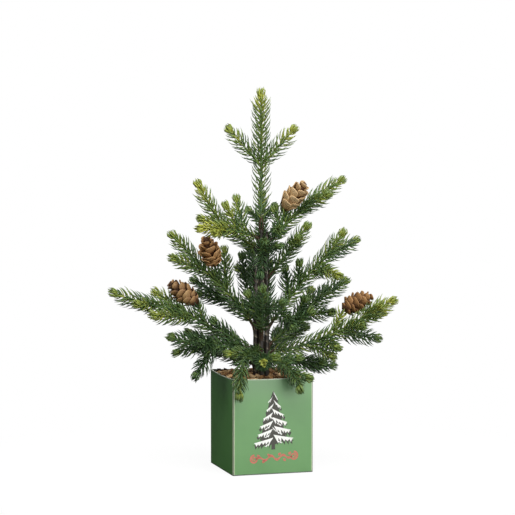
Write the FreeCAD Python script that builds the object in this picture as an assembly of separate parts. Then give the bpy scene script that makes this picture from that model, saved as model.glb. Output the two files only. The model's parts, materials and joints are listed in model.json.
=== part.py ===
import FreeCAD, Part
import math
import os

# Artificial tabletop tree in a square tin box. Millimetres, +Z up.
# The origin is the middle of the box's underside; the printed front faces -Y.
# Azimuths are degrees anticlockwise from +X, rises are degrees above level.

Vector = FreeCAD.Vector
UP = Vector(0, 0, 1)

# tin box
BOX_SIDE = 101.6
BOX_HEIGHT = 117.5
BOX_CORNER_R = 2.5
TIN = 0.6
HEM_HEIGHT = 5.0
RIM_DIP = 1.5
DIP_DEPTH_IN = 3 * TIN
LAP_WIDTH = 7.0
LAP_INSET = 16.0
LAP_CLEARANCE = 1.0
BASE_FLANGE_HEIGHT = 6.0
FIT_GAP = 0.1

# filling, from the base up
BALLAST_SIDE = 96.0
BALLAST_HEIGHT = 25.0
FILL_SIDE = 98.6
FOAM_TOP = 103.0
MULCH_TOP = 111.0
MULCH_DOME = 3.0
LAYER_GAP = 0.2

# trunk: a core with four stems bound round it
CORE_R = 3.5
SIDE_STEM_R = 3.2
STEM_RING_R = CORE_R + SIDE_STEM_R + FIT_GAP
STEM_FOOT_Z = 40.0
# stem name: (azimuth on the bundle, top height)
SIDE_STEMS = {
    "trunk_stem_left": (165, 256),
    "trunk_stem_right": (-15, 292),
    "trunk_stem_front": (-105, 205),
    "trunk_stem_back": (75, 288),
}
CORE_TOP_Z = 299.0

# branches: taped wire that bends at a round knuckle let into a trunk stem
WIRE_R = 1.5
TWIG_R = 0.9
KNUCKLE_R = 2.2
KNUCKLE_WIDTH = 5.0
KNUCKLE_STAND_OFF = 1.0
KNUCKLE_CLEARANCE = 0.3

# needles: each tuft is a sleeve round its wire, closed by a blunt nose
TUFT_R = 4.5
BORE_CLEARANCE = 0.15
TUFT_GAP = 0.4
WIRE_END_GAP = 1.0
BARE_ROOT = 14.0
TIP_LENGTH = 3.0
NOSE_LENGTH = 6.0
NOSE_R = 1.6
SHORTEST_TUFT = 4.0

# pine cones
CONE_LENGTH = 42.0
CONE_R = 12.5
CONE_ROWS = 9
# the cone's outline is this part of a sine wave, raised to a power to make it fuller
CONE_WAVE_START = 0.16
CONE_WAVE_SPAN = 0.78
CONE_FULLNESS = 0.8
# each row of scales, as shares of the outline's radius, and the height of its lip in the row
SCALE_ROOT = 0.68
SCALE_SHOULDER = 0.84
SCALE_LIP_HEIGHT = 0.75
CONE_STALK_IN = 6.0
CONE_STALK_LEAD = 2.0

# Each branch: trunk stem, root height, azimuth, rise at the root, then
#   run: stretches of the main wire as (length, rise at the stretch's end)
#   twigs: (distance along the main wire, turn from its azimuth, rise, length)
#   cone: (distance along, turn, stalk rise, stalk length, cone rise)
BRANCHES = {
    "leader": dict(
        stem="trunk_core", z=300, azimuth=-17, rise=90,
        run=[(156, 90)],
        twigs=[(72, 180, 48, 58), (72, 0, 48, 58)],
    ),
    "low_left": dict(
        stem="trunk_stem_left", z=140, azimuth=171, rise=32,
        run=[(78, 34), (30, 16), (45, 13), (32, 24)],
        twigs=[(84, 30, 7, 62), (97, -34, 30, 48), (134, 38, 8, 32)],
        cone=(70, -12, 70, 28, 36),
    ),
    "low_left_front": dict(
        stem="trunk_stem_left", z=149, azimuth=196, rise=4,
        run=[(50, 8), (46, 12), (18, 20)],
        twigs=[(18, -20, 44, 46), (56, 14, -48, 46), (60, 38, 10, 34), (70, -30, -16, 34)],
    ),
    "low_right": dict(
        stem="trunk_stem_right", z=143, azimuth=-25, rise=10,
        run=[(30, 12), (30, 24), (28, 24), (40, 34), (34, 28)],
        twigs=[(50, -32, -20, 38), (66, -50, -12, 36), (86, 32, -10, 56), (100, -46, 8, 32),
               (124, 38, 12, 28), (126, -38, 34, 28)],
        cone=(82, 26, 68, 30, 24),
    ),
    "low_right_back": dict(
        stem="trunk_stem_right", z=134, azimuth=6, rise=-8,
        run=[(35, -9), (35, -8), (12, -8)],
        twigs=[(38, -34, 2, 30), (52, 36, -14, 30)],
    ),
    "low_front_right": dict(
        stem="trunk_stem_front", z=138, azimuth=-68, rise=-4,
        run=[(20, -9), (28, -22), (29, -62)],
        twigs=[(28, 42, 14, 26), (52, 32, -18, 25)],
    ),
    "low_front_left": dict(
        stem="trunk_stem_front", z=148, azimuth=-128, rise=-5,
        run=[(46, -8), (22, -70), (28, -84)],
        twigs=[(30, -38, 4, 32)],
    ),
    "low_front": dict(
        stem="trunk_stem_front", z=129, azimuth=-105, rise=12,
        run=[(36, 10), (26, 4)],
        twigs=[(32, 40, 18, 26)],
    ),
    "low_back_left": dict(
        stem="trunk_stem_left", z=128, azimuth=126, rise=10,
        run=[(45, 16), (55, 24)],
        twigs=[(46, 36, 8, 36), (52, -36, 22, 34), (76, 38, 30, 26)],
    ),
    "low_back_right": dict(
        stem="trunk_stem_back", z=140, azimuth=44, rise=12,
        run=[(45, 16), (55, 24)],
        twigs=[(46, 36, 10, 36), (52, -36, 22, 34), (76, 38, 30, 26)],
    ),
    "mid_left": dict(
        stem="trunk_stem_left", z=178, azimuth=163, rise=57,
        run=[(30, 50), (50, 43), (30, 48), (32, 49)],
        twigs=[(50, -60, 82, 50), (84, 34, 22, 52)],
        cone=(66, 56, 72, 21, 62),
    ),
    "mid_left_back": dict(
        stem="trunk_stem_back", z=182, azimuth=134, rise=24,
        run=[(50, 26), (48, 28)],
        twigs=[(10, -20, 76, 74), (50, 34, 14, 34), (56, -34, 48, 32)],
    ),
    "mid_front": dict(
        stem="trunk_stem_front", z=168, azimuth=-104, rise=46,
        run=[(30, 60), (32, 68)],
        twigs=[(22, -72, 60, 36), (33, 62, 26, 30)],
    ),
    "mid_right": dict(
        stem="trunk_stem_right", z=176, azimuth=-12, rise=57,
        run=[(62, 50), (44, 46), (34, 60)],
        twigs=[(22, -72, -22, 44), (40, 110, 74, 36), (60, -90, 78, 28), (80, 42, 6, 32),
               (90, -42, -14, 36), (104, 30, 22, 54)],
    ),
    "mid_right_low": dict(
        stem="trunk_stem_right", z=152, azimuth=16, rise=34,
        run=[(25, 37), (32, 36), (34, 31), (40, 24)],
        twigs=[(32, -50, 34, 36), (50, -88, 56, 30), (58, -34, 4, 36), (64, 38, 44, 34),
               (90, 38, 22, 28)],
    ),
    "small_right": dict(
        stem="trunk_stem_right", z=238, azimuth=-38, rise=48,
        run=[(40, 52), (34, 54)],
        twigs=[(40, -40, 40, 26)],
    ),
    "mid_back": dict(
        stem="trunk_stem_back", z=196, azimuth=80, rise=36,
        run=[(50, 42), (52, 46)],
        twigs=[(46, 38, 24, 36), (52, -38, 30, 34), (76, 38, 56, 28)],
    ),
    "upper_left_back": dict(
        stem="trunk_core", z=270, azimuth=147, rise=28,
        run=[(44, 34), (20, 56), (44, 62)],
        twigs=[(50, 34, 18, 30)],
    ),
    "upper_left_front": dict(
        stem="trunk_core", z=283, azimuth=190, rise=26,
        run=[(24, 16), (26, 4), (26, 2)],
        twigs=[(20, -70, 72, 42), (28, -10, 62, 34), (46, 38, -6, 28)],
    ),
    "upper_front": dict(
        stem="trunk_core", z=266, azimuth=-100, rise=20,
        run=[(30, 30)],
        twigs=[(9, 44, 14, 26), (12, -16, -58, 34)],
    ),
    "upper_right": dict(
        stem="trunk_stem_right", z=279, azimuth=-8, rise=50,
        run=[(40, 44), (40, 34), (32, 33)],
        twigs=[(14, -98, 10, 36), (19, 126, 70, 26), (48, -34, 30, 46)],
        cone=(28, -40, 92, 21, 46),
    ),
    "upper_back": dict(
        stem="trunk_stem_back", z=276, azimuth=72, rise=40,
        run=[(40, 48), (34, 52)],
        twigs=[(34, 40, 30, 28), (38, -40, 34, 28)],
    ),
}


def heading(azimuth, rise):
    """The unit direction at an azimuth and a rise."""
    level = math.cos(math.radians(rise))
    return (
        level * math.cos(math.radians(azimuth)),
        level * math.sin(math.radians(azimuth)),
        math.sin(math.radians(rise)),
    )


def along(start, direction, distance):
    """The point at a distance from start in a direction."""
    return tuple(s + distance * d for s, d in zip(start, direction))


def angle_between(first, second):
    """The angle between two unit directions, in radians."""
    dot = sum(a * b for a, b in zip(first, second))
    return math.acos(max(-1.0, min(1.0, dot)))


def stem_centre(name):
    """Where a trunk stem's axis stands."""
    if name == "trunk_core":
        return (0.0, 0.0, 0.0)
    azimuth, _ = SIDE_STEMS[name]
    return along((0.0, 0.0, 0.0), heading(azimuth, 0), STEM_RING_R)


def root_point(branch):
    """The point that a branch bends about, just clear of its trunk stem."""
    if branch["rise"] == 90:
        return (0.0, 0.0, float(branch["z"]))
    radius = CORE_R if branch["stem"] == "trunk_core" else SIDE_STEM_R
    outward = heading(branch["azimuth"], 0)
    x, y, _ = along(stem_centre(branch["stem"]), outward, radius + KNUCKLE_STAND_OFF)
    return (x, y, float(branch["z"]))


def stretches(branch):
    """The main wire's stretches, as (start point, start rise, end rise, length, distance so far)."""
    point, rise, gone = root_point(branch), branch["rise"], 0.0
    out = []
    for length, end_rise in branch["run"]:
        out.append((point, rise, end_rise, length, gone))
        point = point_in(branch["azimuth"], (point, rise, end_rise, length, gone), length)
        rise, gone = end_rise, gone + length
    return out


def point_in(azimuth, stretch, distance):
    """The point at a distance along one stretch, which is straight or a circular arc."""
    start, rise, end_rise, length, _ = stretch
    if rise == end_rise:
        return along(start, heading(azimuth, rise), distance)
    turn = math.radians(end_rise - rise)
    radius = length / turn
    first = math.radians(rise)
    last = first + distance / radius
    outward = radius * (math.sin(last) - math.sin(first))
    upward = radius * (math.cos(first) - math.cos(last))
    x, y, z = along(start, heading(azimuth, 0), outward)
    return (x, y, z + upward)


def place_on(branch, distance):
    """The point and the direction at a distance along a branch's main wire."""
    for stretch in stretches(branch):
        start, rise, end_rise, length, gone = stretch
        if distance <= gone + length:
            break
    part_way = distance - gone
    local_rise = rise + (end_rise - rise) * part_way / length
    point = point_in(branch["azimuth"], stretch, part_way)
    return point, heading(branch["azimuth"], local_rise)


def wire_length(branch):
    """The main wire's whole length."""
    return sum(length for length, _ in branch["run"])


def side_wires(branch):
    """Every twig, and the cone's stalk, as (distance along, start point, direction, length)."""
    out = []
    for distance, turn, rise, length in branch["twigs"]:
        point, _ = place_on(branch, distance)
        out.append((distance, point, heading(branch["azimuth"] + turn, rise), length))
    return out


def cone_stalk(branch):
    """The cone's stalk, as (distance along, start point, direction, length)."""
    distance, turn, rise, length, _ = branch["cone"]
    point, _ = place_on(branch, distance)
    return (distance, point, heading(branch["azimuth"] + turn, rise), length)


def cone_place(branch):
    """The middle of a cone's base, just past the stalk's bend, and the direction of its tip."""
    _, start, direction, length = cone_stalk(branch)
    _, turn, _, _, rise = branch["cone"]
    cone_direction = heading(branch["azimuth"] + turn, rise)
    bend = along(start, direction, length)
    return along(bend, cone_direction, CONE_STALK_LEAD), cone_direction


def bare_stretch(branch, side_wire):
    """How far along the main wire the needles stop for a side wire, from and to."""
    distance, _, direction, _ = side_wire
    _, onward = place_on(branch, distance)
    angle = angle_between(onward, direction)
    lean = TUFT_R / math.tan(angle)
    room = (TWIG_R + TUFT_GAP) / math.sin(angle)
    return distance + min(0.0, lean) - room, distance + max(0.0, lean) + room


def twig_tuft_start(branch, side_wire):
    """How far out on a twig its needles start, clear of the main wire's needles."""
    distance, _, direction, _ = side_wire
    _, onward = place_on(branch, distance)
    angle = angle_between(onward, direction)
    return (TUFT_R + TUFT_R * abs(math.cos(angle))) / math.sin(angle) + TUFT_GAP


def main_tufts(branch):
    """The main wire's tufts, as (stretch, from, to) with distances inside that stretch."""
    wires = side_wires(branch)
    if "cone" in branch:
        wires.append(cone_stalk(branch))
    bare = sorted(bare_stretch(branch, wire) for wire in wires)
    out = []
    for stretch in stretches(branch):
        length, gone = stretch[3], stretch[4]
        begin, end = max(gone, BARE_ROOT), gone + length - TUFT_GAP
        for low, high in bare + [(end, end)]:
            stop = min(low, end)
            if stop - begin >= SHORTEST_TUFT:
                out.append((stretch, begin - gone, stop - gone))
            begin = max(begin, high)
    return out


# ------------------------------------------------------------------ solids


def hinge_axis(branch):
    """The level direction about which a positive turn lifts the branch."""
    x, y, _ = heading(branch["azimuth"], 0)
    return Vector(y, -x, 0)


def disc(point, direction, radius, bore=0.0):
    """A flat disc, or a ring if it has a bore, square to a direction."""
    wires = [Part.Wire(Part.makeCircle(radius, Vector(*point), direction))]
    if bore:
        wires.append(Part.Wire(Part.makeCircle(bore, Vector(*point), direction)))
    return Part.makeFace(wires, "Part::FaceMakerBullseye")


def rod(start, direction, length, radius, bore=0.0):
    """A straight round rod or tube."""
    axis = Vector(*direction)
    return disc(start, axis, radius, bore).extrude(axis * length)


def bent_rod(branch, stretch, begin, end, radius, bore=0.0):
    """A rod or tube along part of a stretch, straight or bent to the stretch's arc."""
    start, rise, end_rise, length, _ = stretch
    azimuth = branch["azimuth"]
    point = point_in(azimuth, stretch, begin)
    local_rise = rise + (end_rise - rise) * begin / length
    direction = heading(azimuth, local_rise)
    if rise == end_rise:
        return rod(point, direction, end - begin, radius, bore)
    turn = math.radians(end_rise - rise)
    bend_r = length / turn
    x, y, z = along(start, heading(azimuth, rise + 90), bend_r)
    axis = hinge_axis(branch)
    if turn < 0:
        axis = axis * -1
    face = disc(point, Vector(*direction), radius, bore)
    return face.revolve(Vector(x, y, z), axis, math.degrees(abs((end - begin) / bend_r)))


def one_solid(shapes):
    """The shapes joined into a single solid."""
    joined = shapes[0].multiFuse(shapes[1:]).removeSplitter()
    return joined.Solids[0]


def end_tuft(start, direction, begin, end, wire_r):
    """The tuft round a wire's straight end, closed by a blunt nose."""
    tube = rod(along(start, direction, begin), direction, end - begin, TUFT_R, wire_r + BORE_CLEARANCE)
    nose_base = Vector(*along(start, direction, end))
    return one_solid([tube, Part.makeCone(TUFT_R, NOSE_R, NOSE_LENGTH, nose_base, Vector(*direction))])


def main_wire(branch):
    """A branch's main wire, with the knuckle at its root."""
    root = Vector(*root_point(branch))
    axis = hinge_axis(branch)
    knuckle_start = root - axis * (KNUCKLE_WIDTH / 2)
    shapes = [Part.makeCylinder(KNUCKLE_R, KNUCKLE_WIDTH, knuckle_start, axis)]
    for stretch in stretches(branch):
        shapes.append(bent_rod(branch, stretch, 0.0, stretch[3], WIRE_R))
    tip, direction = place_on(branch, wire_length(branch))
    shapes.append(rod(tip, direction, TIP_LENGTH - WIRE_END_GAP, WIRE_R))
    return one_solid(shapes)


def stalk_wire(branch):
    """The wire that carries a cone, bent once just below the cone's base."""
    _, start, direction, length = cone_stalk(branch)
    _, cone_direction = cone_place(branch)
    bend = along(start, direction, length)
    inside = CONE_STALK_LEAD + CONE_STALK_IN - 1.0
    return one_solid([
        rod(start, direction, length, TWIG_R),
        Part.makeSphere(TWIG_R, Vector(*bend)),
        rod(bend, cone_direction, inside, TWIG_R),
    ])


def branch_wire(branch):
    """A branch's taped wires: the main one, and each twig and stalk bound against it."""
    main = main_wire(branch)
    wires = [main]
    for _, start, direction, length in side_wires(branch):
        wires.append(rod(start, direction, length - WIRE_END_GAP, TWIG_R).cut(main).Solids[0])
    if "cone" in branch:
        wires.append(stalk_wire(branch).cut(main).Solids[0])
    return Part.makeCompound(wires)


def branch_foliage(branch):
    """A branch's needle tufts, one solid each."""
    bore = WIRE_R + BORE_CLEARANCE
    tufts = [bent_rod(branch, stretch, begin, end, TUFT_R, bore)
             for stretch, begin, end in main_tufts(branch)]
    tip, direction = place_on(branch, wire_length(branch))
    tufts.append(end_tuft(tip, direction, 0.0, TIP_LENGTH, WIRE_R))
    for wire in side_wires(branch):
        _, start, direction, length = wire
        tufts.append(end_tuft(start, direction, twig_tuft_start(branch, wire), length, TWIG_R))
    return Part.makeCompound(tufts)


def cone_radius(share):
    """A cone's outline: its radius at a share of the way from base to tip."""
    wave = math.sin(math.pi * (CONE_WAVE_START + CONE_WAVE_SPAN * share))
    return CONE_R * wave ** CONE_FULLNESS


def pine_cone(branch):
    """A cone: rows of scales that flare towards the tip, turned about one axis."""
    bore = TWIG_R + BORE_CLEARANCE
    pitch = CONE_LENGTH / CONE_ROWS
    outline = [(bore, 0.0)]
    for row in range(CONE_ROWS):
        outer = cone_radius((row + 0.5) / CONE_ROWS)
        outline.append((SCALE_ROOT * outer, row * pitch))
        outline.append((outer, (row + SCALE_LIP_HEIGHT) * pitch))
        outline.append((SCALE_SHOULDER * outer, (row + 1) * pitch))
    outline.append((0.0, CONE_LENGTH))
    outline.append((0.0, CONE_STALK_IN))
    outline.append((bore, CONE_STALK_IN))
    points = [Vector(radius, 0, height) for radius, height in outline]
    profile = Part.Face(Part.makePolygon(points + points[:1]))
    cone = profile.revolve(Vector(0, 0, 0), UP, 360)
    base, direction = cone_place(branch)
    cone.Placement = FreeCAD.Placement(Vector(*base), FreeCAD.Rotation(UP, Vector(*direction)))
    return cone


def rounded_block(side, height, z, corner_r):
    """A square block with rounded upright edges, centred on the origin's axis."""
    block = Part.makeBox(side, side, height, Vector(-side / 2, -side / 2, z))
    upright = [e for e in block.Edges if abs(e.tangentAt(e.FirstParameter).z) > 0.9]
    return block.makeFillet(corner_r, upright)


def box_wall():
    """The wrapped tin wall: hemmed at the rim, lapped inside the back, its top edges dipped."""
    outer = rounded_block(BOX_SIDE, BOX_HEIGHT, 0, BOX_CORNER_R)
    wall = outer.cut(rounded_block(BOX_SIDE - 2 * TIN, BOX_HEIGHT, 0, BOX_CORNER_R - TIN))
    hem_z = BOX_HEIGHT - HEM_HEIGHT
    hem = rounded_block(BOX_SIDE - 2 * TIN, HEM_HEIGHT, hem_z, BOX_CORNER_R - TIN)
    hem = hem.cut(rounded_block(BOX_SIDE - 4 * TIN, HEM_HEIGHT, hem_z, BOX_CORNER_R - 2 * TIN))
    lap_z = BASE_FLANGE_HEIGHT + LAP_CLEARANCE
    lap_corner = Vector(BOX_SIDE / 2 - LAP_INSET, BOX_SIDE / 2 - 2 * TIN, lap_z)
    lap = Part.makeBox(LAP_WIDTH, TIN, hem_z - lap_z, lap_corner)
    wall = wall.fuse([hem, lap]).removeSplitter()
    for axis in (Vector(1, 0, 0), Vector(0, 1, 0)):
        wall = wall.cut(rim_dip(axis))
    return wall


def rim_dip(axis):
    """What the shallow dip takes off the top of the two walls square to an axis."""
    dip_r = ((BOX_SIDE / 2) ** 2 + RIM_DIP ** 2) / (2 * RIM_DIP)
    dip_z = BOX_HEIGHT - RIM_DIP + dip_r
    start = Vector(0, 0, dip_z) - axis * (BOX_SIDE / 2)
    return Part.makeCylinder(dip_r, BOX_SIDE, start, axis).common(dip_reach(axis))


def dip_reach(axis):
    """The space at the top of the two walls square to an axis, a little deeper than their hems."""
    reach = BOX_SIDE / 2
    inner = BOX_SIDE / 2 - DIP_DEPTH_IN
    across = Vector(axis.y, axis.x, 0)
    blocks = []
    for side in (-1, 1):
        middle = axis * (side * (reach + inner) / 2)
        low = middle - axis * ((reach - inner) / 2) - across * reach + UP * (BOX_HEIGHT - HEM_HEIGHT)
        size = axis * (reach - inner) + across * (2 * reach)
        blocks.append(Part.makeBox(size.x, size.y, 2 * HEM_HEIGHT, low))
    return blocks[0].fuse(blocks[1])


def box_base():
    """The tin base: a plate with a turned-up edge, inside the wall."""
    side = BOX_SIDE - 2 * TIN - 2 * FIT_GAP
    pan = rounded_block(side, BASE_FLANGE_HEIGHT, 0, BOX_CORNER_R - TIN)
    return pan.cut(rounded_block(side - 2 * TIN, BASE_FLANGE_HEIGHT, TIN, BOX_CORNER_R - 2 * TIN))


def bundle_hole(z, height):
    """The round hole that the trunk's stems are pushed into."""
    radius = STEM_RING_R + SIDE_STEM_R + FIT_GAP
    return Part.makeCylinder(radius, height, Vector(0, 0, z))


def ballast():
    """The cast weight at the bottom of the box."""
    return rounded_block(BALLAST_SIDE, BALLAST_HEIGHT, TIN + LAYER_GAP, BOX_CORNER_R - 2 * TIN)


def foam_block():
    """The foam that grips the trunk."""
    low = TIN + BALLAST_HEIGHT + 2 * LAYER_GAP
    foam = rounded_block(FILL_SIDE, FOAM_TOP - low, low, BOX_CORNER_R - 2 * TIN)
    return foam.cut(bundle_hole(STEM_FOOT_Z, FOAM_TOP - STEM_FOOT_Z))


def mulch_bed():
    """The bed of bark over the foam, a little higher in the middle."""
    low = FOAM_TOP + LAYER_GAP
    bed = rounded_block(FILL_SIDE, MULCH_TOP - low + MULCH_DOME, low, BOX_CORNER_R - 2 * TIN)
    half_diagonal = FILL_SIDE / math.sqrt(2)
    dome_r = (half_diagonal ** 2 + MULCH_DOME ** 2) / (2 * MULCH_DOME)
    dome = Part.makeSphere(dome_r, Vector(0, 0, MULCH_TOP + MULCH_DOME - dome_r))
    bed = bed.common(dome)
    return bed.cut(bundle_hole(low, MULCH_TOP - low + MULCH_DOME))


def trunk_stem(name):
    """One stem of the trunk, with a round seat for each knuckle that it carries."""
    if name == "trunk_core":
        radius, top = CORE_R, CORE_TOP_Z
    else:
        radius, top = SIDE_STEM_R, SIDE_STEMS[name][1]
    foot = Vector(*stem_centre(name)) + UP * STEM_FOOT_Z
    stem = Part.makeCylinder(radius, top - STEM_FOOT_Z, foot)
    for branch in BRANCHES.values():
        if branch["stem"] == name:
            axis = hinge_axis(branch)
            seat_start = Vector(*root_point(branch)) - axis * (2 * radius)
            stem = stem.cut(Part.makeCylinder(KNUCKLE_R + KNUCKLE_CLEARANCE, 4 * radius, seat_start, axis))
    return stem


def write_part(name, shape):
    """One node's STEP file."""
    shape.exportStep("parts/" + name + ".step")


os.makedirs("parts", exist_ok=True)
write_part("box_wall", box_wall())
write_part("box_base", box_base())
write_part("ballast", ballast())
write_part("foam_block", foam_block())
write_part("mulch_bed", mulch_bed())
for stem_name in ["trunk_core", *SIDE_STEMS]:
    write_part(stem_name, trunk_stem(stem_name))
for branch_name, one_branch in BRANCHES.items():
    write_part(branch_name + "_wire", branch_wire(one_branch))
    write_part(branch_name + "_foliage", branch_foliage(one_branch))
    if "cone" in one_branch:
        write_part(branch_name + "_cone", pine_cone(one_branch))
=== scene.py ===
import json
import math

import bpy
import numpy as np
from mathutils import Matrix, Vector


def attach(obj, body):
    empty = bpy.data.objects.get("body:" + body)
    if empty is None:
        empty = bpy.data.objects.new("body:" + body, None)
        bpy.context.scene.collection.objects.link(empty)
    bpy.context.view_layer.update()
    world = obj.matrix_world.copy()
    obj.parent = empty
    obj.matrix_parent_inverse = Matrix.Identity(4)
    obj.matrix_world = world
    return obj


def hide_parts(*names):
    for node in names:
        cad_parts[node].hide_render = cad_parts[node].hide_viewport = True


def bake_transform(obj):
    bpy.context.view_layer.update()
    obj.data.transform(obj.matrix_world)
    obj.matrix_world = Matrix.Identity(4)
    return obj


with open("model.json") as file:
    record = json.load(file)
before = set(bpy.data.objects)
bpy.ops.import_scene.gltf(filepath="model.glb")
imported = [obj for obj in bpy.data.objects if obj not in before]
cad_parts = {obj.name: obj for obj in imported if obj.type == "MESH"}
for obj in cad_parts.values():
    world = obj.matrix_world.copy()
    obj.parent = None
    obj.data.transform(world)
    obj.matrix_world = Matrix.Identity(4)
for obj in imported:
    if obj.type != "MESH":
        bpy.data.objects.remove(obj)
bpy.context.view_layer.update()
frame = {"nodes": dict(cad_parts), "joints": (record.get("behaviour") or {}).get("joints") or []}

# Lengths are millimetres until a mesh is made. The row frame: +Z up, the printed front faces -Y.
MM = 0.001
UP = np.array([0.0, 0.0, 1.0])
GOLDEN_ANGLE = math.pi * (3 - math.sqrt(5))
GOLDEN_SHARE = 0.618
# the largest random turn, in radians
ANY_TURN = 6.28

# box, as in the CAD
BOX_SIDE = 101.6
BOX_HEIGHT = 117.5
BOX_CORNER_R = 2.5
RIM_DIP = 1.5
TIN = 0.6
HEM_R = 0.68
HEM_DROP = 0.55
HEM_SIDES = 10
MULCH_TOP = 110.0
MULCH_BANK = 3.2
MULCH_HALF = 48.9

# bark chips: (about how many, height of their middles, spread of their tilts in radians), layer by layer
CHIP_LAYERS = ((190, 110.6, 0.25), (190, 112.6, 0.45), (120, 114.4, 0.60))
CHIP_MARGIN = 4.5
SOIL_FOOT = 104.0
SOIL_CELLS = 48
SOIL_LUMPS = 40

# printed fir and scroll on the front face
PRINT_TOP = 102.0
PRINT_SKIRT = 36.0
PRINT_FOOT = 30.0
PRINT_HALF_WIDTH = 26.0
PRINT_TIERS = 6
PRINT_LIFT = 0.05
LIFT_STEP = 0.001
SCROLL_Z = 20.0
SCROLL_CLIMB = 0.045
SCROLL_LIFT = 0.08

# trunk: (name, azimuth on the bundle or None for the core, radius, top height)
STEM_RING_R = 6.8
CORE_R = 3.5
SIDE_STEM_R = 3.2
TRUNK_STEMS = [
    ("trunk_core", None, CORE_R, 299.0),
    ("trunk_stem_left", 165, SIDE_STEM_R, 256.0),
    ("trunk_stem_right", -15, SIDE_STEM_R, 292.0),
    ("trunk_stem_front", -105, SIDE_STEM_R, 205.0),
    ("trunk_stem_back", 75, SIDE_STEM_R, 288.0),
]
TRUNK_FOOT_Z = 104.0
STEM_STEP = 0.65
STEM_BEND = 0.25
TAPE_LAP = 8.5
TRUNK_NEEDLE_FOOT = 200.0
CORE_NEEDLE_FOOT = 256.0
TRUNK_NEEDLES_PER_MM = 0.6

# wires: the bare wire's radius, then the taped root's, the leader's thicker root's, and on to the end's
WIRE_R = 1.5
ROOT_R = 2.2
LEADER_ROOT_R = 3.1
TAPED_R = 1.7
WIRE_END_R = 1.0
TWIG_R = 0.9
TWIG_END_R = 0.6
TIP_LENGTH = 3.0
TAPED_STRETCH = 14.0
TAPE_RIDGE = 0.09
TAPE_TURN = 2.1
STALK_SHADE = 0.35
WIRE_SIDES = 12
TWIG_SIDES = 8
STEM_SIDES = 24

# needles: angles are in degrees from the wire's direction
NEEDLE_LENGTH = 15.5
NEEDLE_RIDGE = 1.25
NEEDLES_PER_MM = 1.5
NEEDLE_START_ANGLE = 72
NEEDLE_END_ANGLE = 27
# a needle's sections: how far along it they are, their half widths, and how much lighter each one is
NEEDLE_STATIONS = np.array([0.0, 0.33, 0.7, 1.0])
NEEDLE_HALF_WIDTHS = np.array([0.8, 1.0, 0.82])
NEEDLE_FADE = np.array([0.17, 0.06, -0.04, -0.10])
# stretches of a wire: bare at its start, growing to full length, yellowing, narrowing, and the rosette's
BARE_ROOT = 3.5
BARE_TWIG = 2.0
OPENING_STRETCH = 6.0
GLOW_STRETCH = 24.0
NECK_STRETCH = 13.0
NECK_SHARE = 0.32
ROSETTE_STRETCH = 4.0
# shades run from 0, dark bluish green, to 1, yellow
NEEDLE_SHADE = 0.265
ROSETTE_SHADE = 0.47
ROSETTE_GAIN = 1.15
# the trunk's needles sit lower on this scale: painted shade deep inside the tree
TRUNK_NEEDLE_SHADE = 0.14
DULLNESS = 0.16
# the rings of needles at a tip: how many, angles at foot and point, length, distance from the tip
ROSETTE_RINGS = (
    (14, 104, -30, 13.2, 3.2),
    (8, 58, -14, 10.2, 1.6),
)

# pine cones
CONE_LENGTH = 42.0
CONE_R = 12.5
CONE_SCALES = 28
CONE_STALK_LEAD = 2.0
CONE_CORE_SHARE = 0.5
# the core is painted darker than the scales: painted shade deep between them
CONE_CORE_SHADE = -0.2
CONE_CORE_SIDES = 14
# a scale's sections from its foot to its lip: how far along it they are, half widths and thicknesses
SCALE_ROWS = np.array([0.0, 0.35, 0.62, 0.84, 0.95, 1.0])
SCALE_HALF_WIDTHS = np.array([0.40, 0.78, 1.0, 0.92, 0.66, 0.30])
SCALE_THICKNESSES = np.array([0.8, 1.1, 1.4, 1.3, 1.0, 0.6])
SCALE_COLUMNS = np.linspace(-1, 1, 7)
# how far a scale leans out from the cone's axis: at the base, and how much less at the tip, in degrees
SCALE_LEAN = 44
SCALE_LEAN_FALL = 26

# Each cone's look: how much its scales stand open in degrees, its tone, and whether it is reddish. The tone
# is partly painted light and shade, making up for how much light reaches each cone.
CONE_LOOKS = {
    "low_left": (-4, -0.44, False),
    "low_right": (10, -0.46, True),
    "mid_left": (0, 0.02, True),
    "upper_right": (-14, 0.16, False),
}
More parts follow.
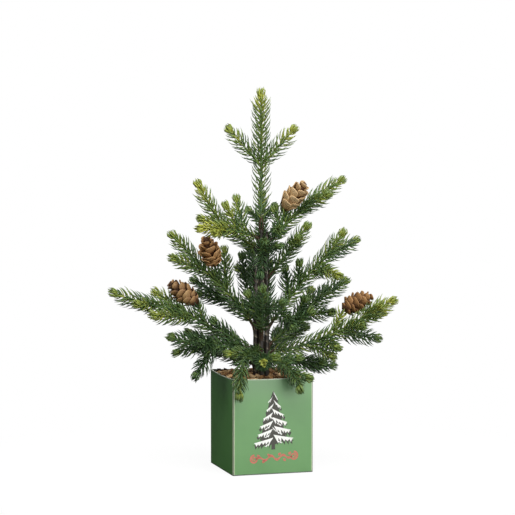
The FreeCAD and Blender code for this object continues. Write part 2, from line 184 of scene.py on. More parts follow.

# Each branch, as in the CAD: rise at the root, then
#   run: stretches of the main wire as (length, rise at the stretch's end)
#   twigs: (distance along the main wire, turn from its azimuth, rise, length)
#   cone: (distance along, turn, stalk rise, stalk length, cone rise)
#   light: how far its needles lean towards yellow-green, partly their own colour and partly painted light and
#       shade (paler on lit branches, darker on shaded ones); bushy: its needles' length, as a share
#   dull: the twigs, by number, that are painted darker and less yellow than the rest, partly as painted shade
#   fullness: how densely the needles stand, as a share
#   crowding: below 1, the main wire's needles stand closer together towards its end
#   star: how much more yellow the main wire's rosette is
#   stalk_light: as light, for the needles on the cone's stalk
PLAIN_BRANCH = dict(light=0.0, bushy=1.1, dull=(), fullness=1.0, crowding=1.0, star=0.0)
BRANCHES = {
    "leader": dict(
        rise=90, light=0.18, bushy=1.14, fullness=0.78, crowding=0.72, run=[(156, 90)],
        twigs=[(72, 180, 48, 58), (72, 0, 48, 58)]),
    "low_left": dict(
        rise=32, light=0.08, bushy=1.12, run=[(78, 34), (30, 16), (45, 13), (32, 24)],
        twigs=[(84, 30, 7, 62), (97, -34, 30, 48), (134, 38, 8, 32)], cone=(70, -12, 70, 28, 36)),
    "low_left_front": dict(
        rise=4, light=-0.04, bushy=1.12, run=[(50, 8), (46, 12), (18, 20)],
        twigs=[(18, -20, 44, 46), (56, 14, -48, 46), (60, 38, 10, 34), (70, -30, -16, 34)]),
    "low_right": dict(
        rise=10, light=0.17, bushy=1.12, dull=(0, 2, 3), stalk_light=0.34,
        run=[(30, 12), (30, 24), (28, 24), (40, 34), (34, 28)],
        twigs=[(50, -32, -20, 38), (66, -50, -12, 36), (86, 32, -10, 56), (100, -46, 8, 32),
               (124, 38, 12, 28), (126, -38, 34, 28)],
        cone=(82, 26, 68, 30, 24)),
    "low_right_back": dict(
        rise=-8, light=-0.08, bushy=1.08, run=[(35, -9), (35, -8), (12, -8)],
        twigs=[(38, -34, 2, 30), (52, 36, -14, 30)]),
    "low_front_right": dict(
        rise=-4, light=-0.01, bushy=1.08, run=[(20, -9), (28, -22), (29, -62)],
        twigs=[(28, 42, 14, 26), (52, 32, -18, 25)]),
    "low_front_left": dict(
        rise=-5, light=0.01, bushy=1.0, run=[(46, -8), (22, -70), (28, -84)], twigs=[(30, -38, 4, 32)]),
    "low_front": dict(
        rise=12, light=-0.05, star=0.34, run=[(36, 10), (26, 4)], twigs=[(32, 40, 18, 26)]),
    "low_back_left": dict(
        rise=10, run=[(45, 16), (55, 24)], twigs=[(46, 36, 8, 36), (52, -36, 22, 34), (76, 38, 30, 26)]),
    "low_back_right": dict(
        rise=12, run=[(45, 16), (55, 24)], twigs=[(46, 36, 10, 36), (52, -36, 22, 34), (76, 38, 30, 26)]),
    "mid_left": dict(
        rise=57, light=0.11, run=[(30, 50), (50, 43), (30, 48), (32, 49)],
        twigs=[(50, -60, 82, 50), (84, 34, 22, 52)], cone=(66, 56, 72, 21, 62)),
    "mid_left_back": dict(
        rise=24, light=-0.08, bushy=1.08, run=[(50, 26), (48, 28)],
        twigs=[(10, -20, 76, 74), (50, 34, 14, 34), (56, -34, 48, 32)]),
    "mid_front": dict(
        rise=46, light=-0.04, bushy=1.12, run=[(30, 60), (32, 68)],
        twigs=[(22, -72, 60, 36), (33, 62, 26, 30)]),
    "mid_right": dict(
        rise=57, light=0.11, dull=(0, 1, 2), run=[(62, 50), (44, 46), (34, 60)],
        twigs=[(22, -72, -22, 44), (40, 110, 74, 36), (60, -90, 78, 28), (80, 42, 6, 32),
               (90, -42, -14, 36), (104, 30, 22, 54)]),
    "mid_right_low": dict(
        rise=34, bushy=1.2, run=[(25, 37), (32, 36), (34, 31), (40, 24)],
        twigs=[(32, -50, 34, 36), (50, -88, 56, 30), (58, -34, 4, 36), (64, 38, 44, 34),
               (90, 38, 22, 28)]),
    "small_right": dict(
        rise=48, light=0.07, bushy=1.08, run=[(40, 52), (34, 54)], twigs=[(40, -40, 40, 26)]),
    "mid_back": dict(
        rise=36, bushy=1.08, run=[(50, 42), (52, 46)],
        twigs=[(46, 38, 24, 36), (52, -38, 30, 34), (76, 38, 56, 28)]),
    "upper_left_back": dict(
        rise=28, light=0.20, bushy=1.05, run=[(44, 34), (20, 56), (44, 62)], twigs=[(50, 34, 18, 30)]),
    "upper_left_front": dict(
        rise=26, light=0.27, bushy=1.08, dull=(0,), run=[(24, 16), (26, 4), (26, 2)],
        twigs=[(20, -70, 72, 42), (28, -10, 62, 34), (46, 38, -6, 28)]),
    "upper_front": dict(
        rise=20, light=-0.10, dull=(1,), run=[(30, 30)], twigs=[(9, 44, 14, 26), (12, -16, -58, 34)]),
    "upper_right": dict(
        rise=50, light=0.12, bushy=1.08, dull=(0, 1), run=[(40, 44), (40, 34), (32, 33)],
        twigs=[(14, -98, 10, 36), (19, 126, 70, 26), (48, -34, 30, 46)], cone=(28, -40, 92, 21, 46)),
    "upper_back": dict(
        rise=40, light=-0.02, bushy=0.8, run=[(40, 48), (34, 52)],
        twigs=[(34, 40, 30, 28), (38, -40, 34, 28)]),
}

# camera, on the photograph's side of the box
CAMERA_AZIMUTH = -16.7
CAMERA_ELEVATION = 4.6
CAMERA_DISTANCE = 2756.0
CAMERA_LENS = 156.2
CAMERA_SENSOR = 36.0
CAMERA_CLIP = 50.0
AIM_RIGHT = -4.5
AIM_UP = 258.4

# softboxes: (azimuth, elevation, distance, size, power), in degrees, metres and watts
SOFTBOXES = {
    "key": (-66, 12, 1.6, 1.5, 28),
    "front": (-108, 8, 1.8, 0.8, 5),
    "top": (-100, 66, 1.6, 1.2, 30),
    "left": (-165, 42, 1.8, 1.0, 11),
    "right": (20, 30, 2.0, 1.2, 9),
    "back": (78, 30, 2.2, 1.6, 24),
}
SOFTBOX_AIM = UP * 0.24
WORLD_LIGHT = 0.012
WHITE = (1.0, 1.0, 1.0)

# floor, in metres: it turns pure white between these distances from the box's middle
FLOOR_REACH = 6.0
FLOOR_DROP = 0.0005
FLOOR_FADE = (0.05, 0.40)
FLOOR_WHITE_AT_BOX = 0.9
FLOOR_PALE = (0.9, 0.9, 0.9)
FLOOR_BOUNCE = (0.05, 0.05, 0.05)


# ---- paths


def heading(azimuth, rise):
    """The unit direction at an azimuth and a rise, in degrees."""
    azimuth, rise = math.radians(azimuth), math.radians(rise)
    level = math.cos(rise)
    return np.array([level * math.cos(azimuth), level * math.sin(azimuth), math.sin(rise)])


JOINTS = {joint["child"]: joint for joint in frame["joints"]}


def root_of(name):
    """Where a branch bends, and its azimuth, both from the CAD joint."""
    joint = JOINTS[name]
    axis_x, axis_y, _ = joint["axis"]
    return np.array(joint["pos_m"]) / MM, math.degrees(math.atan2(axis_x, -axis_y))


class Line:
    """A smooth line through closely spaced points, looked up by distance."""

    def __init__(self, points):
        self.points = np.array(points)
        steps = np.linalg.norm(np.diff(self.points, axis=0), axis=1)
        self.distances = np.concatenate([[0.0], np.cumsum(steps)])
        self.length = self.distances[-1]

    def at(self, distance):
        """The points at these distances."""
        return np.stack([np.interp(distance, self.distances, self.points[:, k]) for k in range(3)], axis=-1)

    def direction(self, distance):
        """The unit directions at these distances."""
        step = 0.5
        ahead = np.clip(np.asarray(distance) + step, 0, self.length)
        behind = np.clip(np.asarray(distance) - step, 0, self.length)
        return unit(self.at(ahead) - self.at(behind))


def unit(vectors):
    """The vectors, each made one long."""
    return vectors / np.linalg.norm(vectors, axis=-1, keepdims=True)


def straight_line(start, direction, length):
    """A straight wire as a line."""
    return Line([start + direction * length * share for share in np.linspace(0, 1, 12)])


def wires_of(name):
    """A branch's main wire from its root out, and its twigs."""
    branch = BRANCHES[name]
    point, azimuth = root_of(name)
    points, rise = [point], float(branch["rise"])
    for length, end_rise in branch["run"]:
        steps = int(length)
        for step in range(steps):
            middle = rise + (end_rise - rise) * (step + 0.5) / steps
            point = point + heading(azimuth, middle) * length / steps
            points.append(point)
        rise = end_rise
    main = Line([*points, point + heading(azimuth, rise) * TIP_LENGTH])
    return main, [straight_line(main.at(distance), heading(azimuth + turn, twig_rise), twig_length)
                  for distance, turn, twig_rise, twig_length in branch["twigs"]]


def cone_place(name, main):
    """A cone's stalk, the middle of its base and the direction of its tip."""
    _, azimuth = root_of(name)
    distance, turn, stalk_rise, length, cone_rise = BRANCHES[name]["cone"]
    start = main.at(distance)
    bend = start + heading(azimuth + turn, stalk_rise) * length
    direction = heading(azimuth + turn, cone_rise)
    base = bend + direction * CONE_STALK_LEAD
    return Line([start, bend, base, base + direction * 4.0]), base, direction


# ---- meshes


def add_object(name, data):
    """A new object in the scene for a mesh, a lamp or a camera."""
    made = bpy.data.objects.new(name, data)
    bpy.context.scene.collection.objects.link(made)
    return made


class Pile:
    """Vertices, faces and one number per vertex, gathered for a single object."""

    def __init__(self):
        self.vertices, self.faces, self.shades, self.count = [], [], [], 0

    def add(self, vertices, faces, shade):
        """Adds a mesh. shade is one number, or one for each vertex."""
        vertices = np.asarray(vertices, float).reshape(-1, 3)
        self.vertices.append(vertices)
        self.faces.extend([tuple(index + self.count for index in face) for face in faces])
        self.shades.append(np.broadcast_to(shade, len(vertices)).astype(np.float32))
        self.count += len(vertices)

    def make(self, name, material, smooth=True):
        """The gathered object. The number for each vertex becomes its attribute 'shade'."""
        mesh = bpy.data.meshes.new(name)
        mesh.from_pydata((np.concatenate(self.vertices) * MM).tolist(), [], self.faces)
        mesh.polygons.foreach_set("use_smooth", np.full(len(mesh.polygons), smooth))
        attribute = mesh.attributes.new("shade", "FLOAT", "POINT")
        attribute.data.foreach_set("value", np.concatenate(self.shades))
        mesh.update()
        mesh.materials.append(material)
        return add_object(name, mesh)


def ring_faces(rings, sides, caps=True):
    """The faces of a tube made of rings of vertices, closed at both ends or at neither."""
    here = np.arange(rings * sides).reshape(rings, sides)
    beside = np.roll(here, -1, axis=1)
    faces = np.stack([here[:-1], beside[:-1], beside[1:], here[1:]], axis=-1).reshape(-1, 4).tolist()
    if caps:
        faces += [here[0, ::-1].tolist(), here[-1].tolist()]
    return faces


def around(sides):
    """Equally spaced angles, all the way round."""
    return np.arange(sides) * 2 * math.pi / sides


def spokes(across, up, angles):
    """Unit directions round a line, at angles from across towards up."""
    return np.cos(angles)[..., None] * across + np.sin(angles)[..., None] * up


def frames_along(directions):
    """Two directions square to each tangent, turning as little as possible from one to the next."""
    first = UP if abs(directions[0][2]) < 0.9 else np.array([1.0, 0.0, 0.0])
    across = []
    for tangent in directions:
        first = unit(first - tangent * (first @ tangent))
        across.append(first)
    across = np.array(across)
    return across, np.cross(directions, across)


def add_tube(pile, line, distances, radii, sides, shade):
    """A tube round a line. Radii and shades are one number, a column, or a column for each side."""
    across, up = frames_along(line.direction(distances))
    size = (len(distances), sides)
    ring = spokes(across[:, None], up[:, None], around(sides))
    vertices = line.at(distances)[:, None] + ring * np.broadcast_to(radii, size)[:, :, None]
    pile.add(vertices, ring_faces(*size), np.broadcast_to(shade, size).ravel())


def add_needles(pile, feet, tangents, outward, start_angles, end_angles, lengths, shades, curls):
    """Curved three-sided needles. Angles are measured from the stem's direction, in radians."""
    sideways = np.cross(tangents, outward)
    centre, rings = feet, []
    for index, share in enumerate(NEEDLE_STATIONS):
        angle = start_angles + (end_angles - start_angles) * share
        ahead = np.cos(angle)[:, None] * tangents + np.sin(angle)[:, None] * outward
        ahead = unit(ahead + (curls * share)[:, None] * sideways)
        if index:
            centre = centre + ahead * (lengths * (share - NEEDLE_STATIONS[index - 1]))[:, None]
        if share < 1:
            half = NEEDLE_HALF_WIDTHS[index]
            ridge = np.cross(sideways, ahead) * half * NEEDLE_RIDGE
            rings += [centre - sideways * half, centre + sideways * half, centre + ridge]
    rings.append(centre)
    vertices = np.stack(rings, axis=1)
    corners = [(0, 1), (1, 2), (2, 0)]
    template = [(3 * r + a, 3 * r + b, 3 * r + 3 + b, 3 * r + 3 + a) for r in range(2) for a, b in corners]
    template += [(6 + a, 6 + b, 9) for a, b in corners]
    faces = [tuple(10 * n + v for v in face) for n in range(len(feet)) for face in template]
    fade = np.repeat(NEEDLE_FADE, [3, 3, 3, 1])
    pile.add(vertices, faces, (shades[:, None] + fade[None, :]).ravel())


def seats(line, distances, turns):
    """The wire's direction and the way out from it, at these distances and angles round it."""
    tangents = line.direction(distances)
    return tangents, spokes(*frames_along(tangents), turns)


def add_sprig(pile, line, start, wire_r, light, rng, length,
              fullness=1.0, crowding=1.0, star=0.0, tipped=True):
    """Needles along a wire. A tipped one narrows to a claw-shaped rosette at its end."""
    end = line.length - ROSETTE_STRETCH
    count = int((end - start) * NEEDLES_PER_MM * fullness)
    shares = ((np.arange(count) + 0.5) / count) ** crowding
    distances = start + shares * (end - start) + rng.uniform(-0.15, 0.15, count)
    distances = np.clip(distances, start, end)
    turns = np.arange(count) * GOLDEN_ANGLE + rng.uniform(0, ANY_TURN) + rng.normal(0, 0.07, count)
    tangents, outward = seats(line, distances, turns)
    neck = np.clip((end - distances) / NECK_STRETCH, 0.0, 1.0) if tipped else np.full(count, 0.6)
    opening = np.clip((distances - start) / OPENING_STRETCH, 0.0, 1.0)
    reach = (NECK_SHARE + (1 - NECK_SHARE) * neck) * (0.7 + 0.3 * opening)
    lengths = length * rng.normal(1.0, 0.05, count) * reach
    start_angles = np.radians(rng.normal(NEEDLE_START_ANGLE, 3, count)) * (0.72 + 0.28 * neck)
    end_angles = np.radians(rng.normal(NEEDLE_END_ANGLE, 4, count))
    tip_glow = np.clip(1.0 - (end - distances) / GLOW_STRETCH, 0.0, 1.0) * tipped
    # painted shade and light: needles darker towards the branch's root and paler out along it, more so on lit
    # branches; the yellow tips are partly the needles' own colour and grow with the branch's light
    yellowing_and_painted_light = light * (0.5 + 0.8 * distances / line.length)
    yellowing_and_painted_light += np.clip(0.05 + 1.2 * light, 0.0, 0.35) * tip_glow
    shades = NEEDLE_SHADE + yellowing_and_painted_light + rng.normal(0, 0.09, count)
    feet = line.at(distances) + outward * wire_r * 0.7
    add_needles(pile, feet, tangents, outward, start_angles, end_angles, lengths, shades,
                rng.normal(0, 0.10, count))
    if tipped:
        add_rosette(pile, line, light + star, rng)


def add_rosette(pile, line, light, rng):
    """The ring of needles at a tip, curving in like a claw, round a closer heart."""
    for count, opening, closing, length, back in ROSETTE_RINGS:
        distances = np.full(count, line.length - back) + rng.uniform(-0.8, 0.8, count)
        turns = around(count) + rng.normal(0, 0.14, count)
        tangents, outward = seats(line, distances, turns)
        add_needles(
            pile, line.at(distances), tangents, outward,
            np.radians(rng.normal(opening, 6, count)), np.radians(rng.normal(closing, 8, count)),
            length * rng.normal(1, 0.08, count),
            ROSETTE_SHADE + light * ROSETTE_GAIN + rng.normal(0, 0.05, count),
            rng.normal(0, 0.2, count),
        )


def cone_radius(share):
    """A cone's outline, as in the CAD."""
    return CONE_R * np.sin(math.pi * (0.16 + 0.78 * share)) ** 0.8


def add_cone(pile, base, direction, openness, tone, rng):
    """A pine cone: a dark core and broad round-ended scales set along a spiral."""
    across, up = (vectors[0] for vectors in frames_along(direction[None, :]))
    core = Line([base + direction * CONE_LENGTH * share for share in np.linspace(0.02, 0.93, 12)])
    distances = np.linspace(0, core.length, 14)
    core_r = CONE_CORE_SHARE * cone_radius(distances / CONE_LENGTH + 0.02)
    add_tube(pile, core, distances, core_r[:, None], CONE_CORE_SIDES, CONE_CORE_SHADE)
    for index in range(CONE_SCALES):
        share = (index + 0.5) / CONE_SCALES
        reach = float(cone_radius(share)) * (1.06 + 0.006 * openness)
        turn = index * GOLDEN_ANGLE + rng.normal(0, 0.08)
        lean = math.radians(SCALE_LEAN - SCALE_LEAN_FALL * share + openness + rng.normal(0, 3))
        outward = math.cos(turn) * across + math.sin(turn) * up
        sideways = np.cross(direction, outward)
        ahead = math.cos(lean) * direction + math.sin(lean) * outward
        top = np.cross(ahead, sideways)
        length = max(reach * 0.8 / max(math.sin(lean), 0.5), 6.0)
        width = (3.2 + 0.30 * reach) * rng.normal(1, 0.05)
        end = base + direction * (share * (CONE_LENGTH - 4.0) + 3.0) + outward * reach * rng.normal(1.0, 0.04)
        rows, half = SCALE_ROWS[:, None, None], SCALE_HALF_WIDTHS[:, None, None]
        columns = SCALE_COLUMNS[None, :, None]
        middle = end - ahead * length * (1 - rows) - top * 1.3 * rows ** 3
        grid = middle + sideways * width * half * columns + top * (1.5 * columns ** 2 * half)
        half_deep = top * SCALE_THICKNESSES[:, None, None] * (0.5 + 0.5 * (1 - columns ** 2)) / 2
        # painted shade: each scale darker towards its foot and its sides, where the scales overlap
        shades = rows - 0.15 * np.abs(columns) + tone + rng.normal(0, 0.06)
        add_slab(pile, grid - half_deep, grid + half_deep, shades.ravel())


def add_slab(pile, lower, upper, shades):
    """A closed plate between two grids of points."""
    rows, columns, _ = lower.shape
    count = rows * columns
    here = np.arange(count).reshape(rows, columns)
    squares = np.stack([here[:-1, :-1], here[:-1, 1:], here[1:, 1:], here[1:, :-1]], axis=-1).reshape(-1, 4)
    border = np.concatenate([here[0], here[1:, -1], here[-1, -2::-1], here[-2:0:-1, 0]])
    onward = np.roll(border, -1)
    edges = np.stack([onward, border, count + border, count + onward], axis=-1)
    faces = np.concatenate([squares, count + squares[:, ::-1], edges]).tolist()
    # the second grid's side is a quarter darker: on the cone scales, painted shade on the side that faces the
    # next scale
    pile.add(np.stack([lower, upper]), faces, np.concatenate([shades, shades - 0.25]))


# ---- materials


class Nodes:
    """A short way to add and link the nodes of one tree."""

    def __init__(self, tree):
        self.tree = tree

    def node(self, kind, **inputs):
        """A new node with these inputs, each a value or another node's output."""
        made = self.tree.nodes.new("ShaderNode" + kind)
        for name, value in inputs.items():
            self.feed(made.inputs[name.replace("_", " ")], value)
        return made

    def feed(self, socket, value):
        """Sets or links one input. A colour is an output or (r, g, b)."""
        if isinstance(value, bpy.types.NodeSocket):
            self.tree.links.new(value, socket)
        else:
            socket.default_value = (*value, 1.0) if socket.type == "RGBA" else value

    def either(self, factor, first, second):
        """The first shader where the factor is 0, the second where it is 1."""
        made = self.node("MixShader")
        for socket, value in zip(made.inputs, (factor, first, second)):
            self.feed(socket, value)
        return made.outputs[0]

    def camera_ray(self):
        """1 for what the camera sees directly, 0 for light on its way elsewhere."""
        return self.node("LightPath").outputs["Is Camera Ray"]


class Paint(Nodes):
    """A short way to build one node material."""

    def __init__(self, name, roughness, specular=0.5):
        self.material = bpy.data.materials.new(name)
        self.material.use_nodes = True
        super().__init__(self.material.node_tree)
        self.shader = next(n for n in self.tree.nodes if n.type == "BSDF_PRINCIPLED")
        self.shader.inputs["Roughness"].default_value = roughness
        self.shader.inputs["Specular IOR Level"].default_value = specular

    def position(self):
        """The point on the object, in metres."""
        return self.node("TexCoord").outputs["Object"]

    def axes(self):
        """The point's x, y and z."""
        return self.node("SeparateXYZ", Vector=self.position()).outputs[:3]

    def noise(self, scale, detail=4.0, rough=0.55, stretch=None):
        """Noise from 0 to 1. scale counts per metre; stretch scales its axes."""
        where = self.position()
        if stretch:
            where = self.node("Mapping", Vector=where, Scale=stretch).outputs[0]
        return self.node("TexNoise", Vector=where, Scale=scale, Detail=detail,
                         Roughness=rough).outputs[0]

    def shade(self):
        """The number that each vertex carries."""
        made = self.node("Attribute")
        made.attribute_name = "shade"
        return made.outputs["Fac"]

    def maths(self, operation, first, second=0.0, third=0.0):
        """One arithmetic step."""
        made = self.node("Math")
        made.operation = operation
        for socket, value in zip(made.inputs, (first, second, third)):
            self.feed(socket, value)
        return made.outputs[0]

    def scaled(self, value, factor, offset):
        """The value times a factor, plus an offset."""
        return self.maths("MULTIPLY_ADD", value, factor, offset)

    def rise(self, value, low, high, at_low=0.0, at_high=1.0):
        """A number that goes from at_low to at_high while the value goes from low to high."""
        return self.node("MapRange", Value=value, From_Min=low, From_Max=high,
                         To_Min=at_low, To_Max=at_high).outputs[0]

    def ramp(self, factor, stops):
        """A colour ramp: stops are (place, (r, g, b))."""
        made = self.node("ValToRGB", Fac=factor)
        elements = made.color_ramp.elements
        while len(elements) < len(stops):
            elements.new(0.5)
        for element, (place, colour) in zip(elements, stops):
            element.position = place
            element.color = (*colour, 1.0)
        return made.outputs[0]

    def mix(self, factor, first, second):
        """A blend of two colours."""
        made = self.node("Mix")
        made.data_type = "RGBA"
        for socket, value in ((made.inputs[0], factor), (made.inputs[6], first), (made.inputs[7], second)):
            self.feed(socket, value)
        return made.outputs[2]

    def finish(self, colour, roughness=None, height=None, depth=0.0002, strength=0.5):
        """Wires the colour, the roughness and the bump into the shader."""
        self.feed(self.shader.inputs["Base Color"], colour)
        if roughness is not None:
            self.feed(self.shader.inputs["Roughness"], roughness)
        if height is not None:
            bump = self.node("Bump", Height=height, Distance=depth, Strength=strength)
            self.feed(self.shader.inputs["Normal"], bump.outputs[0])
        return self.material


def needle_paint():
    """Moulded needles: dark bluish green inside, yellow-green at the tips; the colour is picked by the shade
    number, which also carries painted light and shade.
    """
    paint = Paint("needles", 0.45, 0.4)
    mottled = paint.scaled(paint.noise(260.0), 0.20, paint.shade())
    level = paint.maths("SUBTRACT", mottled, 0.10)
    colour = paint.ramp(level, [
        (0.0, (0.018, 0.042, 0.015)),
        (0.25, (0.050, 0.104, 0.033)),
        (0.48, (0.130, 0.198, 0.045)),
        (0.72, (0.290, 0.325, 0.050)),
        (1.0, (0.480, 0.480, 0.080)),
    ])
    rough = paint.scaled(paint.noise(900.0), 0.25, 0.32)
    return paint.finish(colour, rough, paint.noise(2600.0), 0.0001, 0.25)


def stem_paint():
    """Branch wires: brown tape at the root (shade 0), green plastic further out (shade 1)."""
    paint = Paint("branch_stems", 0.7, 0.25)
    brown = paint.ramp(paint.noise(700.0), [(0.3, (0.018, 0.011, 0.006)), (0.7, (0.075, 0.045, 0.024))])
    green = paint.ramp(paint.noise(500.0), [(0.3, (0.055, 0.110, 0.050)), (0.7, (0.120, 0.190, 0.085))])
    return paint.finish(paint.mix(paint.shade(), brown, green), None, paint.noise(1500.0), 0.0003, 0.5)


def tape_paint():
    """The trunk's tape: dark brown with pale vertical streaks that are painted highlights; shade runs from 0
    to 1 across each turn of the tape and makes each turn's raised edge a little paler, a painted highlight
    too.
    """
    paint = Paint("trunk_tape", 0.5, 0.5)
    # painted highlights: pale vertical streaks standing in for gloss on the stems; the same noise gives the
    # bump
    highlight_streaks = paint.noise(420.0, 6.0, 0.6, stretch=(1.0, 1.0, 0.12))
    level = paint.scaled(paint.shade(), 0.18, paint.maths("MULTIPLY", highlight_streaks, 0.95))
    colour = paint.ramp(level, [
        (0.36, (0.006, 0.005, 0.003)),
        (0.58, (0.020, 0.014, 0.009)),
        (0.68, (0.130, 0.108, 0.076)),
        (0.80, (0.500, 0.450, 0.350)),
    ])
    return paint.finish(colour, None, highlight_streaks, 0.0004, 0.6)


def cone_paint(name, warmth):
    """Cone scales: dark deep inside (shade 0), tan with fine grain at the lips (shade 1). The dark is painted
    shade in the gaps between the scales.
    """
    paint = Paint(name, 0.62, 0.3)
    grain = paint.noise(900.0, 6.0, 0.6)
    level = paint.scaled(grain, 0.20, paint.scaled(paint.shade(), 0.80, 0.05))
    colour = paint.ramp(level, [
        (0.10, (0.070, 0.030, 0.012)),
        (0.34, (0.230, 0.124 - 0.02 * warmth, 0.050 - 0.02 * warmth)),
        (0.66, (0.400, 0.255 - 0.06 * warmth, 0.115 - 0.05 * warmth)),
        (1.0, (0.560, 0.390 - 0.12 * warmth, 0.210 - 0.10 * warmth)),
    ])
    return paint.finish(colour, None, grain, 0.0004, 0.3)


def bark_paint():
    """Bark chips: shade picks a chip's own tone."""
    paint = Paint("bark_chips", 0.85, 0.2)
    grain = paint.noise(420.0, 8.0, 0.65, stretch=(1.0, 2.4, 1.0))
    level = paint.scaled(grain, 0.5, paint.maths("SUBTRACT", paint.shade(), 0.25))
    colour = paint.ramp(level, [
        (0.0, (0.024, 0.014, 0.008)),
        (0.30, (0.150, 0.072, 0.028)),
        (0.55, (0.420, 0.225, 0.090)),
        (1.0, (0.800, 0.560, 0.300)),
    ])
    return paint.finish(colour, None, grain, 0.0012, 0.8)


def soil_paint():
    """The dark fine bark under the chips."""
    paint = Paint("bark_fines", 0.95, 0.1)
    grain = paint.noise(600.0, 8.0, 0.7)
    colour = paint.ramp(grain, [(0.3, (0.006, 0.004, 0.003)), (0.7, (0.060, 0.028, 0.012))])
    return paint.finish(colour, None, grain, 0.002, 1.0)


def tin_paint():
    """Satin green paint on tin: faint mottling, orange peel, pale upright edges that are partly wear and
    partly a painted highlight, a painted sheen towards the top, a painted highlight under the rim, and a
    near-black band along the bottom.
    """
    paint = Paint("painted_tin", 0.42, 0.9)
    paint.shader.inputs["IOR"].default_value = 1.7
    x, y, z = paint.axes()
    aside, ahead = paint.maths("ABSOLUTE", x), paint.maths("ABSOLUTE", y)
    corner = paint.maths("MINIMUM", aside, ahead)
    half = BOX_SIDE / 2 * MM
    # pale upright edges: partly paint rubbed off, partly a painted highlight where the rounded corners catch
    # the light
    edge_wear_and_highlight = paint.rise(corner, half - 0.0027, half - 0.0015)
    edge_wear_and_highlight = paint.maths("MULTIPLY", edge_wear_and_highlight, paint.scaled(paint.noise(300.0), 0.4, 0.6))
    mottled = paint.ramp(paint.noise(22.0, 5.0, 0.6), [
        (0.3, (0.058, 0.226, 0.036)),
        (0.7, (0.080, 0.262, 0.052)),
    ])
    # painted sheen: the green turns paler and greyer towards the top, standing in for a soft reflection of
    # the lights
    painted_sheen = paint.rise(z, 0.085, 0.125)
    mottled = paint.mix(paint.maths("MULTIPLY", painted_sheen, 0.35), mottled, (0.16, 0.26, 0.15))
    colour = paint.mix(edge_wear_and_highlight, mottled, (0.66, 0.72, 0.50))
    # painted highlight: a pale line just under the rim's top edge, following the dip of each side
    along = paint.maths("DIVIDE", corner, half)
    sag = paint.scaled(paint.maths("MULTIPLY", along, along), -RIM_DIP * MM, RIM_DIP * MM)
    below_rim = paint.maths("SUBTRACT", BOX_HEIGHT * MM, paint.maths("ADD", z, sag))
    rim_highlight = paint.rise(below_rim, 0.0007, 0.0011, 1.0, 0.0)
    colour = paint.mix(rim_highlight, colour, (0.50, 0.58, 0.42))
    outside = paint.rise(paint.maths("MAXIMUM", aside, ahead), half - 0.0005, half - 0.0003)
    colour = paint.mix(outside, (0.12, 0.13, 0.11), colour)
    # a thin near-black band along the bottom edge
    above_bottom_band = paint.rise(z, 0.0006, 0.0016)
    colour = paint.mix(above_bottom_band, (0.012, 0.022, 0.010), colour)
    rough = paint.scaled(paint.noise(45.0), 0.16, 0.34)
    return paint.finish(colour, rough, paint.noise(700.0, 2.0), 0.00006, 0.35)


def speckled_paint(name, dark, pale, scale, roughness, depth=0.0001):
    """A plain surface with a fine two-tone speckle and a slight texture."""
    paint = Paint(name, roughness, 0.3)
    grain = paint.noise(scale, 5.0, 0.6)
    return paint.finish(paint.ramp(grain, [(0.35, dark), (0.65, pale)]), None, grain, depth, 0.4)


# ---- pieces


def hidden_start(name):
    """A branch wire's start: it comes up beside its trunk stem and turns out to the branch."""
    root, azimuth = root_of(name)
    if name == "leader":
        return [root - UP * drop for drop in (16.0, 11.0, 6.0, 2.0)]
    return [root - heading(azimuth, 0) * inward - UP * drop
            for inward, drop in ((3.4, 13.0), (2.9, 8.0), (1.9, 3.6), (0.7, 1.0))]


def build_stem(name, main, twigs, material):
    """A branch's wires, from inside the trunk, where they turn out at the root, to every tip."""
    pile = Pile()
    whole = Line([*hidden_start(name), *main.points])
    hidden = whole.length - main.length
    taped = hidden + TAPED_STRETCH
    distances = np.concatenate([np.arange(0, taped, 0.4), np.arange(taped, whole.length - 1.5, 2.0)])
    out = distances - hidden
    root_r = LEADER_ROOT_R if name == "leader" else ROOT_R
    radii = np.interp(out, [-hidden, 0, 8, main.length], [root_r, root_r, TAPED_R, WIRE_END_R])
    green = np.clip((out - 7) / 9, 0, 1)
    ridge = TAPE_RIDGE * np.clip(1.6 - out / 20, 0, 1)
    turns = distances[:, None] * 2 * math.pi / TAPE_TURN + around(WIRE_SIDES)
    ridged = radii[:, None] * (1 + ridge[:, None] * np.sin(turns))
    add_tube(pile, whole, distances, ridged, WIRE_SIDES, green[:, None])
    for twig in twigs:
        along = np.linspace(0, twig.length - 1.0, 14)
        add_tube(pile, twig, along, np.linspace(TWIG_R, TWIG_END_R, 14)[:, None], TWIG_SIDES, 1.0)
    if "cone" in BRANCHES[name]:
        stalk = cone_place(name, main)[0]
        along = np.linspace(0, stalk.length, 16)
        add_tube(pile, stalk, along, TWIG_R, TWIG_SIDES, STALK_SHADE)
    stem = pile.make(name + "_stem", material)
    root, _ = root_of(name)
    (root + (main.at(0.0) - main.at(2.0))) * MM
    main.at(6.0) * MM
    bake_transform(stem)
    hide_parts(name + "_wire")


